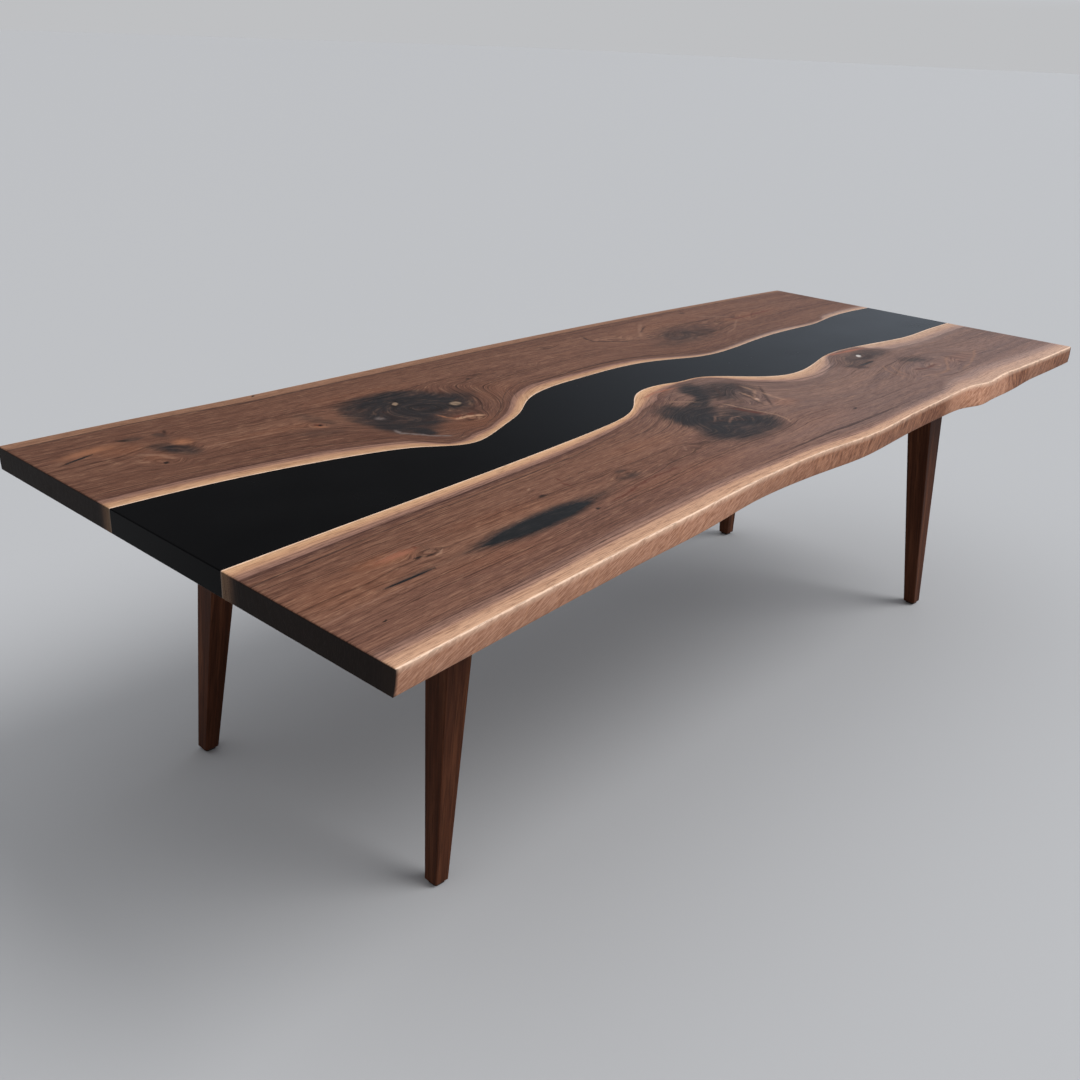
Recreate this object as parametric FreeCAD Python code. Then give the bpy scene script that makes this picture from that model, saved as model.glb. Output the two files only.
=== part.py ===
import FreeCAD, Part
import math
import os

# Live edge river dining table, in millimetres, +Z up and +X along the grain.
# Two walnut slabs lie side by side with a black resin river cast between them.
# Four raked, tapered legs hang on steel plates let flush into the underside, and
# three steel channels across the grain keep the top flat.
# The origin is on the floor under the middle of the top. Front is -Y, left is -X.

V = FreeCAD.Vector

# ---- top ----------------------------------------------------------------------
TABLE_LENGTH = 2600.0
TABLE_HEIGHT = 750.0
TOP_THICKNESS = 46.0
LIVE_ARRIS = 3.0                 # bevel along both live edges, top and bottom
LIVE_BULGE = 1.5                 # how far a live edge swells out between its arrises
SAWN_ARRIS = 1.5                 # bevel across the sawn ends
BEVEL_OVERRUN = 5.0              # how far that cut runs past the faces

# The edges of the raw slabs as (x, y), and for the outer live edges as
# (x, y at the top face, y at the underside). They run on past the sawn ends.
REAR_RIVER_EDGE = [
    (-1600, 146), (-1300, 141), (-1100, 137), (-900, 114), (-760, 85), (-690, 59),
    (-640, 29), (-590, 16), (-540, 28), (-450, 68), (-370, 108), (-300, 158),
    (-220, 194), (-50, 218), (110, 225), (230, 207), (350, 169), (430, 164),
    (600, 185), (820, 202), (960, 204), (1070, 224), (1300, 226), (1600, 222)]
FRONT_RIVER_EDGE = [
    (-1600, -226), (-1300, -192), (-1000, -160), (-700, -129), (-450, -99),
    (-300, -77), (-200, -51), (-140, -17), (-80, 30), (0, 58), (60, 55), (110, 46),
    (170, 43), (220, 20), (290, -38), (350, -73), (440, -80), (540, -57), (630, -32),
    (800, -31), (920, -47), (1010, -56), (1150, -48), (1300, -43), (1600, -40)]
FRONT_LIVE_EDGE = [
    (-1600, -633, -624), (-1300, -596, -589), (-1100, -572, -566), (-900, -549, -544),
    (-700, -525, -523), (-500, -503, -504), (-350, -486, -482), (-200, -475, -473),
    (-60, -470, -475), (60, -475, -478), (180, -470, -469), (300, -457, -456),
    (430, -446, -446), (540, -436, -440), (610, -430, -443), (665, -430, -456),
    (720, -441, -453), (800, -434, -448), (900, -427, -441), (1010, -427, -429),
    (1120, -424, -424), (1300, -416, -415), (1600, -402, -403)]
REAR_LIVE_EDGE = [
    (-1600, 560, 556), (-1300, 566, 562), (-1000, 571, 569), (-800, 569, 571),
    (-600, 575, 573), (-400, 582, 578), (-200, 588, 586), (0, 592, 593),
    (200, 595, 594), (400, 596, 592), (600, 592, 589), (800, 588, 587),
    (1000, 581, 577), (1150, 576, 571), (1300, 567, 564), (1600, 552, 548)]

# Bark cracks filled with resin. name: (slab, the sawn end that its two tips are measured
# from, tips (inset, y), how far the front and the rear side bow out).
FILL_DEPTH = 12.0
CRACKS = {
    "long": ("front", "left", (352, -379), (660, -350), 21, 21),
    "left": ("front", "left", (136, -400), (246, -391), 3, 2),
    "right": ("front", "right", (699, -148), (617, -146), 3, 3),
    "rear": ("rear", "left", (45, 391), (110, 412), 2, 3)}

# ---- legs ---------------------------------------------------------------------
LEG_TOP_SIDE = 76.0
LEG_FOOT_SIDE = 33.0
LEG_ARRIS = 2.0                  # bevel of the leg's long corners
LEG_FOOT_CHAMFER = 3.0
LEG_RAKE_ALONG = 68.0            # how far the foot stands out towards the table's end
LEG_RAKE_ACROSS = 32.0           # how far it stands out towards the table's side

# (side, end): (inset of the foot from the sawn end, y of the foot)
LEGS = {
    ("front", "left"): (390.0, -236.5),
    ("front", "right"): (348.0, -236.5),
    ("rear", "left"): (325.0, 458.5),
    ("rear", "right"): (325.0, 450.5)}

# Felt pad glued under each foot.
PAD_THICKNESS = 4.0
PAD_INSET = 1.5                  # the pad's edge in from the foot's flat
PAD_CORNER = 3.0

# ---- leg plates: a flat plate with a tang welded on, mortised into the leg ------
PLATE_THICKNESS = 5.0
PLATE_OVERHANG_ALONG = 37.0      # plate beyond the leg, each way along the grain
PLATE_OVERHANG_ACROSS = 7.0      # and across it
PLATE_CORNER = 8.0
PLATE_CLEARANCE = 0.5            # play all round the plate in its recess
PLATE_BOLT_FROM_END = 13.0
PLATE_BOLT_FROM_SIDE = 15.0
TANG_WIDTH = 40.0
TANG_THICKNESS = 6.0
TANG_DEPTH = 60.0

# ---- plate bolts: hexagon heads under the plate, shanks up into the slab ---------
BOLT_DIAMETER = 8.0
BOLT_LENGTH = 30.0               # under the head
BOLT_HOLE_CLEARANCE = 0.5        # on the radius, through the plate
HEAD_ACROSS_FLATS = 13.0
HEAD_HEIGHT = 5.3

# ---- stiffening channels --------------------------------------------------------
CHANNEL_POSITIONS = {"left": -430.0, "middle": 0.0, "right": 430.0}
CHANNEL_LENGTH = 860.0
CHANNEL_CENTRE_Y = 60.0
CHANNEL_WIDTH = 38.0
CHANNEL_DEPTH = 14.0
CHANNEL_WALL = 3.0
CHANNEL_CLEARANCE = 0.5          # play all round the channel in its grooves
SLOT_OFFSETS = (225.0, 390.0)    # slots each side of the channel's middle
SLOT_WIDTH = 9.0
SLOT_LENGTH = 22.0               # lets the slabs move across the grain

# ---- levels -------------------------------------------------------------------
UNDERSIDE_Z = TABLE_HEIGHT - TOP_THICKNESS
PLATE_TOP_Z = UNDERSIDE_Z + PLATE_THICKNESS
WEB_TOP_Z = UNDERSIDE_Z + CHANNEL_WALL


# ---- small shapes -------------------------------------------------------------
def way(place):
    """-1 at the left end or the front side, 1 at the right end or the rear side."""
    return -1 if place in ("left", "front") else 1


def from_end(end, inset):
    """The x that lies inset from a sawn end."""
    return way(end) * (TABLE_LENGTH / 2 - inset)


def box(x0, y0, z0, x1, y1, z1):
    return Part.makeBox(x1 - x0, y1 - y0, z1 - z0, V(x0, y0, z0))


def cylinder(diameter, length, x, y, z):
    return Part.makeCylinder(diameter / 2, length, V(x, y, z))


def flat_face(points):
    return Part.Face(Part.makePolygon(points + points[:1]))


def solid_inside(faces):
    shell = Part.makeShell(faces)
    shell.sewShape()
    return Part.makeSolid(shell)


def eight_corners(side, corner, x, y, z):
    """The corners of a square round x, y whose own corners are cut off."""
    half, flat = side / 2, side / 2 - corner
    points = []
    for cos, sin in ((1, 0), (0, 1), (-1, 0), (0, -1)):
        for u, v in ((half, -flat), (half, flat)):
            points.append(V(x + u * cos - v * sin, y + u * sin + v * cos, z))
    return points


def export(name, shape):
    shape.exportStep(os.path.join("parts", name + ".step"))


# ---- the top ------------------------------------------------------------------
def edge_curve(stations, z, inset):
    """A smooth edge at level z, through (x, y at the top, y at the underside) stations."""
    share = (z - UNDERSIDE_Z) / TOP_THICKNESS
    curve = Part.BSplineCurve()
    curve.interpolate(Points=[V(x, bottom + (top - bottom) * share + inset, z)
                              for x, top, bottom in stations],
                      Parameters=[float(x) for x, top, bottom in stations])
    curve.segment(-TABLE_LENGTH / 2, TABLE_LENGTH / 2)
    return curve


def river_edge(points):
    """The square edge that the resin was cast against, as curves from the underside up."""
    stations = [(x, y, y) for x, y in points]
    return [edge_curve(stations, z, 0.0) for z in (UNDERSIDE_Z, TABLE_HEIGHT)]


def live_edge(stations, side):
    """A debarked edge: bevelled arrises and a slight swell, as curves from the underside up."""
    middle = UNDERSIDE_Z + TOP_THICKNESS / 2
    levels = [(UNDERSIDE_Z, LIVE_ARRIS), (UNDERSIDE_Z + LIVE_ARRIS, 0.0), (middle, -LIVE_BULGE),
              (TABLE_HEIGHT - LIVE_ARRIS, 0.0), (TABLE_HEIGHT, LIVE_ARRIS)]
    return [edge_curve(stations, z, -side * inset) for z, inset in levels]


def board(front, rear):
    """A solid between a front and a rear edge, each given as curves from the underside up."""
    faces = []
    for edge in (front, rear):
        for lower, upper in zip(edge, edge[1:]):
            faces.append(Part.makeRuledSurface(lower.toShape(), upper.toShape()))
    for level in (0, -1):
        left = Part.makeLine(front[level].StartPoint, rear[level].StartPoint)
        right = Part.makeLine(front[level].EndPoint, rear[level].EndPoint)
        outline = [front[level].toShape(), right, rear[level].toShape(), left]
        faces.append(Part.Face(Part.Wire(outline)))
    for corner in ("StartPoint", "EndPoint"):
        faces.append(flat_face([getattr(curve, corner) for curve in front + rear[::-1]]))
    return solid_inside(faces)


def end_bevels():
    """What a plane takes off the four arrises of the sawn ends."""
    front = min(top for x, top, bottom in FRONT_LIVE_EDGE) - BEVEL_OVERRUN
    rear = max(top for x, top, bottom in REAR_LIVE_EDGE) + BEVEL_OVERRUN
    side = SAWN_ARRIS + 2 * BEVEL_OVERRUN
    pieces = []
    for end in ("left", "right"):
        for face_z, up in ((TABLE_HEIGHT, 1), (UNDERSIDE_Z, -1)):
            x, z = from_end(end, -BEVEL_OVERRUN), face_z + up * BEVEL_OVERRUN
            corners = [V(x, front, z), V(x - way(end) * side, front, z), V(x, front, z - up * side)]
            pieces.append(flat_face(corners).extrude(V(0, rear - front, 0)))
    return pieces


def crack(end, tip, other_tip, front_bow, rear_bow):
    """The resin in one crack: a pointed lens, flush with the top face."""
    z = TABLE_HEIGHT - FILL_DEPTH
    first, last = [V(from_end(end, inset), y, z) for inset, y in (tip, other_tip)]
    middle = (first + last) / 2
    across = V(0, 0, 1).cross(last - first).normalize()
    rear = Part.Arc(first, middle + across * rear_bow, last).toShape()
    front = Part.Arc(last, middle - across * front_bow, first).toShape()
    return Part.Face(Part.Wire([rear, front])).extrude(V(0, 0, FILL_DEPTH))


# ---- legs and their plates ----------------------------------------------------
def leg_axis(side, end, inset, foot_y, z):
    """Where the leg's centre line passes level z."""
    risen = (z - PAD_THICKNESS) / (UNDERSIDE_Z - PAD_THICKNESS)
    x = from_end(end, inset + LEG_RAKE_ALONG * risen)
    return x, foot_y - way(side) * LEG_RAKE_ACROSS * risen


def leg(*place):
    """A tapered square leg that leans out to its chamfered foot."""
    rise = UNDERSIDE_Z - PAD_THICKNESS
    slope = (LEG_TOP_SIDE - LEG_FOOT_SIDE) / rise
    rings = []
    for height, trim in ((0.0, LEG_FOOT_CHAMFER), (LEG_FOOT_CHAMFER, 0.0), (rise, 0.0)):
        z = PAD_THICKNESS + height
        side = LEG_FOOT_SIDE + slope * height - 2 * trim
        rings.append(eight_corners(side, LEG_ARRIS, *leg_axis(*place, z), z))
    faces = [flat_face(rings[0]), flat_face(rings[-1])]
    for lower, upper in zip(rings, rings[1:]):
        for i in range(len(lower)):
            faces.append(flat_face([lower[i - 1], lower[i], upper[i], upper[i - 1]]))
    return solid_inside(faces)


def foot_pad(*place):
    side = LEG_FOOT_SIDE - 2 * LEG_FOOT_CHAMFER - 2 * PAD_INSET
    x, y = leg_axis(*place, PAD_THICKNESS)
    return flat_face(eight_corners(side, PAD_CORNER, x, y, 0.0)).extrude(V(0, 0, PAD_THICKNESS))


def plate_half_sizes():
    along = LEG_TOP_SIDE / 2 + PLATE_OVERHANG_ALONG
    across = LEG_TOP_SIDE / 2 + PLATE_OVERHANG_ACROSS
    return along, across


def plate_blank(x, y, play):
    """The plate's outline and thickness, with play all round it."""
    along, across = plate_half_sizes()
    along, across = along + play, across + play
    blank = box(x - along, y - across, UNDERSIDE_Z, x + along, y + across, PLATE_TOP_Z)
    corners = [edge for edge in blank.Edges if edge.BoundBox.ZLength > PLATE_THICKNESS / 2]
    return blank.makeChamfer(PLATE_CORNER, corners)


def tang(x, y):
    """The blade welded upright under the plate, which fills its mortise in the leg."""
    return box(x - TANG_WIDTH / 2, y - TANG_THICKNESS / 2, UNDERSIDE_Z - TANG_DEPTH,
               x + TANG_WIDTH / 2, y + TANG_THICKNESS / 2, UNDERSIDE_Z)


def bolt_places(x, y):
    along, across = plate_half_sizes()
    along, across = along - PLATE_BOLT_FROM_END, across - PLATE_BOLT_FROM_SIDE
    return [(x + sx * along, y + sy * across) for sx in (-1, 1) for sy in (-1, 1)]


def bolt_shank(x, y, z, play):
    """The bolt's shank from level z to its tip."""
    tip = UNDERSIDE_Z + BOLT_LENGTH
    return cylinder(BOLT_DIAMETER + 2 * play, tip - z, x, y, z)


def plate_bolt(x, y):
    """A hexagon bolt that points up into the slab, its head against the plate."""
    corner = HEAD_ACROSS_FLATS / math.sqrt(3)
    angles = [math.radians(60 * i) for i in range(6)]
    hexagon = [V(x + corner * math.cos(a), y + corner * math.sin(a), UNDERSIDE_Z) for a in angles]
    head = flat_face(hexagon).extrude(V(0, 0, -HEAD_HEIGHT))
    return head.fuse(bolt_shank(x, y, UNDERSIDE_Z, 0.0))


def leg_plate(x, y):
    """The drilled plate with its tang."""
    holes = [bolt_shank(*at, UNDERSIDE_Z, BOLT_HOLE_CLEARANCE) for at in bolt_places(x, y)]
    return plate_blank(x, y, 0.0).cut(holes).fuse(tang(x, y))


# ---- channels -----------------------------------------------------------------
def channel_section(x, play):
    """The channel's three walls, with play round each, the web at the underside."""
    half = CHANNEL_WIDTH / 2
    y0 = CHANNEL_CENTRE_Y - CHANNEL_LENGTH / 2 - play
    y1 = CHANNEL_CENTRE_Y + CHANNEL_LENGTH / 2 + play
    flange_top = UNDERSIDE_Z + CHANNEL_DEPTH + play
    web = box(x - half - play, y0, UNDERSIDE_Z, x + half + play, y1, WEB_TOP_Z)
    left = box(x - half - play, y0, UNDERSIDE_Z, x - half + CHANNEL_WALL + play, y1, flange_top)
    right = box(x + half - CHANNEL_WALL - play, y0, UNDERSIDE_Z, x + half + play, y1, flange_top)
    return web.fuse([left, right]).removeSplitter()


def slot_places(x):
    return [(x, CHANNEL_CENTRE_Y + side * offset) for side in (-1, 1) for offset in SLOT_OFFSETS]


def slot(x, y):
    """A slot through the web, long across the grain."""
    reach = (SLOT_LENGTH - SLOT_WIDTH) / 2
    ends = [cylinder(SLOT_WIDTH, CHANNEL_WALL, x, y + shift, UNDERSIDE_Z) for shift in (-reach, reach)]
    middle = box(x - SLOT_WIDTH / 2, y - reach, UNDERSIDE_Z, x + SLOT_WIDTH / 2, y + reach, WEB_TOP_Z)
    return middle.fuse(ends).removeSplitter()


def channel(x):
    return channel_section(x, 0.0).cut([slot(*place) for place in slot_places(x)])


# ---- build --------------------------------------------------------------------
os.makedirs("parts", exist_ok=True)

# Legs, pads, plates and bolts; every cut in the slabs is collected on the way.
slab_cuts = []
plate_bolts = []
for corner, foot in LEGS.items():
    name, place = "_".join(corner), corner + foot
    top = leg_axis(*place, UNDERSIDE_Z)
    slab_cuts.append(plate_blank(*top, PLATE_CLEARANCE))
    slab_cuts += [bolt_shank(*at, PLATE_TOP_Z, 0.0) for at in bolt_places(*top)]
    plate_bolts += [plate_bolt(*at) for at in bolt_places(*top)]
    export("leg_" + name, leg(*place).cut(tang(*top)))
    export("leg_plate_" + name, leg_plate(*top))
    export("foot_pad_" + name, foot_pad(*place))
export("leg_plate_bolts", Part.makeCompound(plate_bolts))

# Channels across the underside, slotted so that the slabs can move.
for name, x in CHANNEL_POSITIONS.items():
    export("stiffening_channel_" + name, channel(x))
    slab_cuts.append(channel_section(x, CHANNEL_CLEARANCE))

# The top: two slabs, the river between them, and resin in the cracks.
bevels = end_bevels()
fills = {"front": [], "rear": []}
for name, (slab, *shape) in CRACKS.items():
    fills[slab].append(crack(*shape))
    export("crack_fill_" + name, fills[slab][-1])
front_slab = board(live_edge(FRONT_LIVE_EDGE, -1), river_edge(FRONT_RIVER_EDGE))
rear_slab = board(river_edge(REAR_RIVER_EDGE), live_edge(REAR_LIVE_EDGE, 1))
river = board(river_edge(FRONT_RIVER_EDGE), river_edge(REAR_RIVER_EDGE))
export("front_slab", front_slab.cut(bevels + slab_cuts + fills["front"]))
export("rear_slab", rear_slab.cut(bevels + slab_cuts + fills["rear"]))
export("resin_river", river.cut(bevels + slab_cuts))
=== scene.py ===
import math

import bpy
import numpy as np
from mathutils import Matrix, Vector
from mathutils.kdtree import KDTree


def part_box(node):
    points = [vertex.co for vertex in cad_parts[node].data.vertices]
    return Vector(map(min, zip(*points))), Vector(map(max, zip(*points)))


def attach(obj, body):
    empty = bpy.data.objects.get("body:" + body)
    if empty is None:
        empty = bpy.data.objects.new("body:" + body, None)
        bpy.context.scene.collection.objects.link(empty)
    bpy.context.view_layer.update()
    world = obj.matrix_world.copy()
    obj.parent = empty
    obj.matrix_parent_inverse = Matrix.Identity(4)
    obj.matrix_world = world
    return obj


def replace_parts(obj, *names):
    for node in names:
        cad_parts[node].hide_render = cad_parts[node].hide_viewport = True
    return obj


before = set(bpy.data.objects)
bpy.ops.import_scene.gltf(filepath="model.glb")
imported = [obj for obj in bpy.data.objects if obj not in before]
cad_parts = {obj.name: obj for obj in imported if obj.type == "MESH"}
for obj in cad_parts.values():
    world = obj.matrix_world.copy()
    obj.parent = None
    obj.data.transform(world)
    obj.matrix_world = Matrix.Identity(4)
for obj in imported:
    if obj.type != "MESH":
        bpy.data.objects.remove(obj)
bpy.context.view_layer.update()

# ---- studio ---------------------------------------------------------------------
# The room that the table stands in: a pale floor under a pale plain sky, and one broad
# soft light from above the front right corner. The camera stands off the left front
# corner at eye height and looks down on the top.
EYE = Vector((-2.15964, -1.64205, 1.49435))
YAW, PITCH, ROLL = 0.817832, 0.394474, 0.0412235
LENS, SENSOR = 40.157, 36
LIGHT_FROM = Vector((2.6, -2.9, 4.2))
HORIZON, CEILING = (0.52, 0.527, 0.54, 1), (0.92, 0.93, 0.95, 1)
DIM_SIDE, BRIGHT_SIDE = (0.11, 0.111, 0.116, 1), (0.96, 1.08, 1.26, 1)
FLOOR_GREY = (0.45, 0.455, 0.465, 1)

ahead = Vector((math.sin(YAW) * math.cos(PITCH), math.cos(YAW) * math.cos(PITCH), -math.sin(PITCH)))
level = Vector((math.cos(YAW), -math.sin(YAW), 0))
upright = level.cross(ahead)
camera_x = level * math.cos(ROLL) + upright * math.sin(ROLL)
camera_y = upright * math.cos(ROLL) - level * math.sin(ROLL)
facing = Matrix((camera_x, camera_y, -ahead)).transposed().to_4x4()

bpy.ops.object.select_all(action="DESELECT")
bpy.ops.object.camera_add()
camera = bpy.context.object
camera.matrix_world = Matrix.Translation(EYE) @ facing
camera.data.lens = LENS
camera.data.sensor_width = SENSOR
scene = bpy.context.scene
scene.camera = camera
scene.view_settings.view_transform = "Standard"

bpy.ops.object.light_add(type="SUN")
sun = bpy.context.object
sun.rotation_euler = (-LIGHT_FROM).to_track_quat("-Z", "Y").to_euler()
sun.data.energy = 2.1
sun.data.angle = math.radians(38)

# The sky is brightest overhead. Lower down it is dim on the left and bright and cool on
# the right, which the polished resin mirrors, and a narrow even band hides the horizon.
world = bpy.data.worlds.new("studio")
world.use_nodes = True
air = world.node_tree
scene.world = world
toward = air.nodes.new("ShaderNodeTexCoord")
heading = air.nodes.new("ShaderNodeSeparateXYZ")
air.links.new(toward.outputs["Generated"], heading.inputs[0])


def sky_blend(part, low, high, a, b):
    """A blend from a to b as one part of the heading goes from low to high."""
    share = air.nodes.new("ShaderNodeMapRange")
    share.interpolation_type = "SMOOTHSTEP"
    share.inputs["From Min"].default_value, share.inputs["From Max"].default_value = low, high
    air.links.new(heading.outputs[part], share.inputs["Value"])
    blend = air.nodes.new("ShaderNodeMix")
    blend.data_type = "RGBA"
    air.links.new(share.outputs[0], blend.inputs["Factor"])
    for name, colour in (("A", a), ("B", b)):
        if isinstance(colour, tuple):
            blend.inputs[name].default_value = colour
        else:
            air.links.new(colour, blend.inputs[name])
    return blend.outputs["Result"]


sides = sky_blend("X", 0.6, 1.0, DIM_SIDE, BRIGHT_SIDE)
low_sky = sky_blend("Z", 0.03, 0.10, HORIZON, sides)
whole_sky = sky_blend("Z", 0.28, 0.88, low_sky, CEILING)
air.links.new(whole_sky, air.nodes["Background"].inputs["Color"])

bpy.ops.mesh.primitive_plane_add(size=300)
floor = bpy.context.object
floor.name = "studio_floor"
floor_paint = bpy.data.materials.new("studio_floor")
floor_paint.use_nodes = True
floor_shader = floor_paint.node_tree.nodes["Principled BSDF"]
floor_shader.inputs["Base Color"].default_value = FLOOR_GREY
floor_shader.inputs["Roughness"].default_value = 0.8
floor_shader.inputs["Specular IOR Level"].default_value = 0.1
floor.data.materials.append(floor_paint)

# ---- walnut slabs ---------------------------------------------------------------
# Two boards sawn through and through from one log, 46 mm thick, each with bark side
# sapwood along both edges. The outer edges are debarked and sanded, with their arrises
# just taken off; the ends are sawn square. Satin hard oil all over.
CORNERS = ("front_left", "front_right", "rear_left", "rear_right")
PLACES = ("left", "middle", "right")
STATIONS = 400               # divisions along the grain
SLAB_COLUMNS = 72            # divisions across one slab
EDGE_CROWDING = 0.4          # how much closer the columns stand at the edges
ARRIS = 0.003                # rounding of the live edges
BULGE = 0.0010               # swell of the live edges between their arrises
SAWN_ARRIS = 0.0015          # chamfer of the sawn ends
SLICES = (0.0004, SAWN_ARRIS, ARRIS, 0.012)    # depths from each face at which the edges are sliced
PLAY = 0.0005                # room round each plate and channel
OVERRUN = 0.01               # how far a cutter reaches past the underside
PLATE_CORNER = 0.008         # chamfer of a plate's corners
CHANNEL_WALL, CHANNEL_WEB = 0.003, 0.003
CRACK_OVERRUN = 0.002        # how far a crack's cutter reaches past the top face
SMOOTH_ANGLE = math.radians(35)
slab_low, slab_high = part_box("front_slab")
END = slab_high[0]
TOP, UNDERSIDE = slab_high[2], slab_low[2]
MIDDLE = (TOP + UNDERSIDE) / 2
BULGE_TOP, BULGE_FOOT = TOP - ARRIS, UNDERSIDE + ARRIS
EDGE_LEVELS = [TOP - depth for depth in SLICES] + [MIDDLE] + [UNDERSIDE + depth for depth in SLICES[::-1]]


def wall_line(node, side, at):
    """The (x, y) points at level at along a node's walls that face side, in order."""
    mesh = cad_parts[node].data
    points = set()
    for face in mesh.polygons:
        if face.normal.y * side > 0.3:
            for v in face.vertices:
                co = mesh.vertices[v].co
                if abs(co.z - at) < 2e-5:
                    points.add((round(co.x, 5), round(co.y, 6)))
    points = np.array(sorted(points))
    return points[np.append(True, np.diff(points[:, 0]) > 1e-4)]


def fitted(points, x):
    """y at x on the smooth line through the points."""
    xs, ys = points.T
    slopes = np.gradient(ys, xs)
    i = np.clip(np.searchsorted(xs, x) - 1, 0, len(xs) - 2)
    gap = xs[i + 1] - xs[i]
    t = (x - xs[i]) / gap
    inside = np.clip(t, 0, 1)
    a, b = (1 + 2 * inside) * (1 - inside) ** 2, inside * (1 - inside) ** 2 * gap
    y = a * ys[i] + b * slopes[i] + (1 - a) * ys[i + 1] - inside ** 2 * (1 - inside) * gap * slopes[i + 1]
    return y + (t - inside) * gap * np.where(t < 0, slopes[i], slopes[i + 1])


river_lines = {side: wall_line("resin_river", way, TOP) for side, way in (("front", -1), ("rear", 1))}
live_lines = {side: [wall_line(side + "_slab", way, at) for at in (BULGE_TOP, BULGE_FOOT)]
              for side, way in (("front", -1), ("rear", 1))}


def live_edge(side, x, z):
    """y of a slab's debarked edge at x and z."""
    top, foot = [fitted(line, x) for line in live_lines[side]]
    share = (z - BULGE_FOOT) / (BULGE_TOP - BULGE_FOOT)
    beyond = np.maximum(np.maximum(z - BULGE_TOP, BULGE_FOOT - z), 0)
    inset = ARRIS - np.sqrt(np.maximum(ARRIS ** 2 - beyond ** 2, 0))
    swell = BULGE * np.maximum(1 - (2 * share - 1) ** 2, 0)
    outward = -1 if side == "front" else 1
    return foot + (top - foot) * share + outward * (swell - inset)


def board(name, columns, near, far, crowding):
    """A sheet laid over the top, pulled down to the underside, sliced at the edge's levels
    and fitted between two edges, which are given as y at x and z."""
    bpy.ops.object.select_all(action="DESELECT")
    bpy.ops.mesh.primitive_grid_add(x_subdivisions=STATIONS, y_subdivisions=columns, size=1,
                                    location=(0, 0, TOP))
    piece = bpy.context.object
    piece.name = name
    bpy.ops.object.transform_apply(location=True, rotation=True, scale=True)
    bpy.ops.object.mode_set(mode="EDIT")
    bpy.ops.mesh.select_all(action="SELECT")
    bpy.ops.mesh.extrude_region_move(TRANSFORM_OT_translate={"value": (0, 0, UNDERSIDE - TOP)})
    for at in EDGE_LEVELS:
        bpy.ops.mesh.select_all(action="SELECT")
        bpy.ops.mesh.bisect(plane_co=(0, 0, at), plane_no=(0, 0, 1))
    bpy.ops.mesh.select_all(action="SELECT")
    bpy.ops.mesh.normals_make_consistent(inside=False)
    bpy.ops.object.mode_set(mode="OBJECT")
    co = np.empty(len(piece.data.vertices) * 3)
    piece.data.vertices.foreach_get("co", co)
    co = co.reshape(-1, 3)
    x, t, z = co[:, 0] * 2 * END, co[:, 1] + 0.5, co[:, 2]
    t = t - crowding * np.sin(2 * math.pi * t) / (2 * math.pi)
    beyond = np.maximum(np.abs(z - MIDDLE) - (TOP - UNDERSIDE) / 2 + SAWN_ARRIS, 0)
    x = np.clip(x, beyond - END, END - beyond)
    front, rear = near(x, z), far(x, z)
    piece.data.vertices.foreach_set("co", np.stack([x, front + (rear - front) * t, z], 1).ravel())
    piece.data.update()
    return piece


def cut(piece, *cutters):
    """Cuts each cutter out of the piece, and removes the cutter."""
    for cutter in cutters:
        away = piece.modifiers.new("cut", "BOOLEAN")
        away.operation, away.solver, away.object = "DIFFERENCE", "EXACT", cutter
        bpy.ops.object.select_all(action="DESELECT")
        bpy.context.view_layer.objects.active = piece
        bpy.ops.object.modifier_apply(modifier="cut")
        bpy.data.objects.remove(cutter)


def alone(piece):
    """Selects the piece alone and makes it the active one."""
    bpy.ops.object.select_all(action="DESELECT")
    piece.select_set(True)
    bpy.context.view_layer.objects.active = piece


def block(low, high):
    """A plain box between two corners, to cut with."""
    low, high = Vector(low), Vector(high)
    bpy.ops.object.select_all(action="DESELECT")
    bpy.ops.mesh.primitive_cube_add(size=1, location=(low + high) / 2)
    box = bpy.context.object
    box.scale = high - low
    bpy.ops.object.transform_apply(location=True, rotation=True, scale=True)
    return box


def pick(piece, kind, chosen):
    """Leaves the piece in edit mode with only its chosen edges or faces selected."""
    bpy.context.tool_settings.mesh_select_mode = (False, kind == "edges", kind == "faces")
    bpy.ops.object.mode_set(mode="EDIT")
    bpy.ops.mesh.select_all(action="DESELECT")
    bpy.ops.object.mode_set(mode="OBJECT")
    for part in piece.data.edges if kind == "edges" else piece.data.polygons:
        part.select = chosen(part)
    bpy.ops.object.mode_set(mode="EDIT")


def plate_recess(node):
    """The shallow mortise for a leg plate, chamfered at its upright corners as the plate is."""
    low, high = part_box(node)
    room = Vector((PLAY, PLAY, 0))
    cutter = block(Vector((low[0], low[1], UNDERSIDE - OVERRUN)) - room, Vector(high) + room)
    height = {v.index: v.co.z for v in cutter.data.vertices}
    pick(cutter, "edges", lambda edge: height[edge.vertices[0]] != height[edge.vertices[1]])
    bpy.ops.mesh.bevel(offset=PLATE_CORNER, segments=1)
    bpy.ops.object.mode_set(mode="OBJECT")
    return cutter


def channel_groove(node):
    """The groove for a stiffening channel: deep beside its flanges, shallow over its web."""
    low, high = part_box(node)
    top = high[2] + PLAY
    cutter = block((low[0] - PLAY, low[1] - PLAY, UNDERSIDE - OVERRUN),
                   (high[0] + PLAY, high[1] + PLAY, top))
    pick(cutter, "faces", lambda face: face.normal.z > 0.9)
    bpy.ops.mesh.inset(thickness=CHANNEL_WALL + 2 * PLAY, depth=UNDERSIDE + CHANNEL_WEB - top)
    bpy.ops.object.mode_set(mode="OBJECT")
    return cutter


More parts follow.
